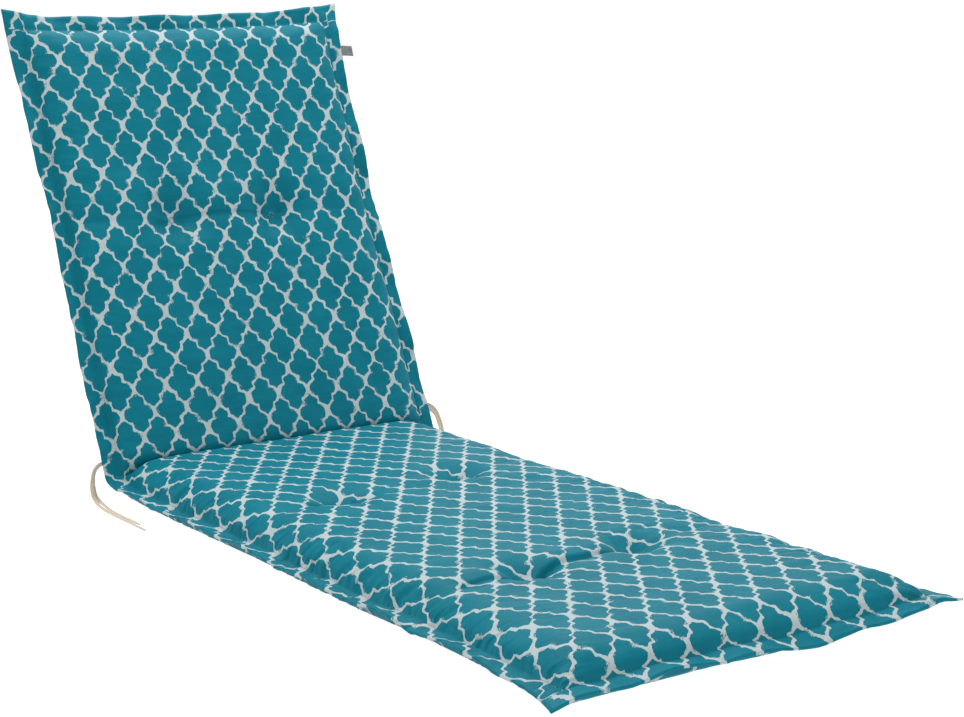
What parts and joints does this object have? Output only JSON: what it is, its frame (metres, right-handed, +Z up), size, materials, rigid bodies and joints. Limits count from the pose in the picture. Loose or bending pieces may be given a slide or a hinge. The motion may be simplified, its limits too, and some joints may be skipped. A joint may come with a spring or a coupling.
{
  "type": "sun lounger cushion",
  "caption": "Filled fabric pad for a sun lounger, tufted, with a flat seam flange all round, bent where the lounger's back is raised, with tie tapes at the bend.",
  "frame": {"origin": "on the floor, under the middle of the seat and leg part's flat reverse", "axes": "+X across the width, +Y along the length towards the head, +Z up"},
  "size_m": [0.6641, 1.4834, 0.7279],
  "materials": {
    "printed_cloth": "woven, printed",
    "clear_plastic": "clear, smooth",
    "cotton_tape": "woven tape",
    "label_cloth": "matt ribbon"
  },
  "bodies": {
    "root": {"cushion": "printed_cloth", "ring_foot_left": "clear_plastic", "ring_foot_right": "clear_plastic", "ring_seat_left": "clear_plastic", "ring_seat_right": "clear_plastic", "ring_back_left": "clear_plastic", "ring_back_right": "clear_plastic", "label": "label_cloth", "tie_left_inner": "cotton_tape", "tie_left_outer": "cotton_tape", "tie_right_inner": "cotton_tape", "tie_right_outer": "cotton_tape"}
  },
  "joints": []
}
